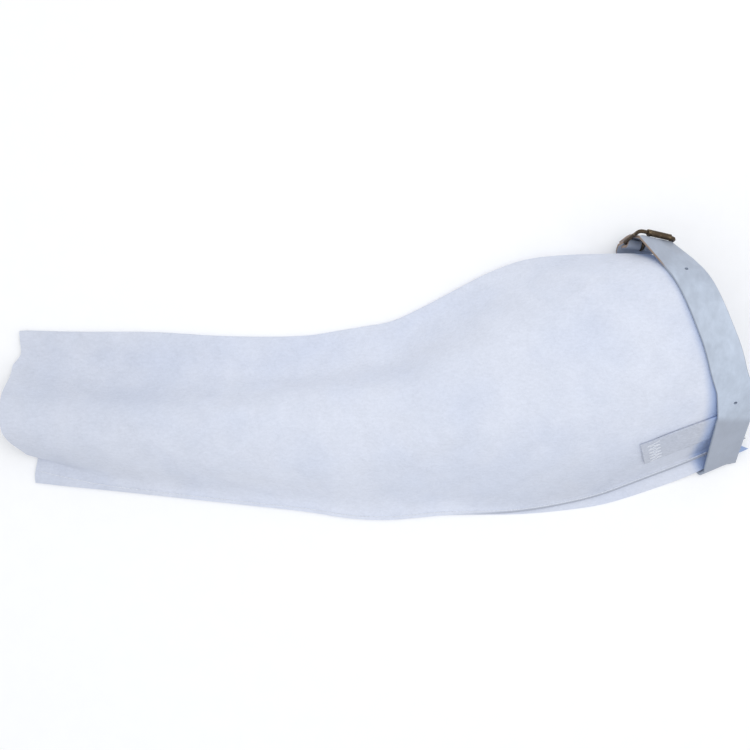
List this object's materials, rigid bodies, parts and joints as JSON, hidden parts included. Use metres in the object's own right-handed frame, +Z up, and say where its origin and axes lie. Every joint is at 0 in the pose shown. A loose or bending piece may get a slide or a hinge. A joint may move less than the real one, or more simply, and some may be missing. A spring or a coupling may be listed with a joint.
{
  "type": "welding sleeve",
  "caption": "White split leather welding sleeve lying flat, with a strap and an antique brass roller buckle at the arm mouth.",
  "frame": {"origin": "middle of the outline, on the surface that the sleeve lies on", "axes": "+X along the arm from the cuff to the arm mouth, +Y to the folded edge, +Z up"},
  "size_m": [0.5848, 0.2256, 0.0916],
  "materials": {
    "split_leather": "matte, suede side out",
    "strap_leather": "smooth, slight sheen",
    "antique_brass": "darkened, worn bright on the edges"
  },
  "bodies": {
    "root": {"sleeve_panel": "split_leather", "strap_tab": "split_leather", "arm_strap": "strap_leather", "buckle_frame": "antique_brass", "buckle_roller": "antique_brass", "buckle_prong": "antique_brass"}
  },
  "joints": []
}
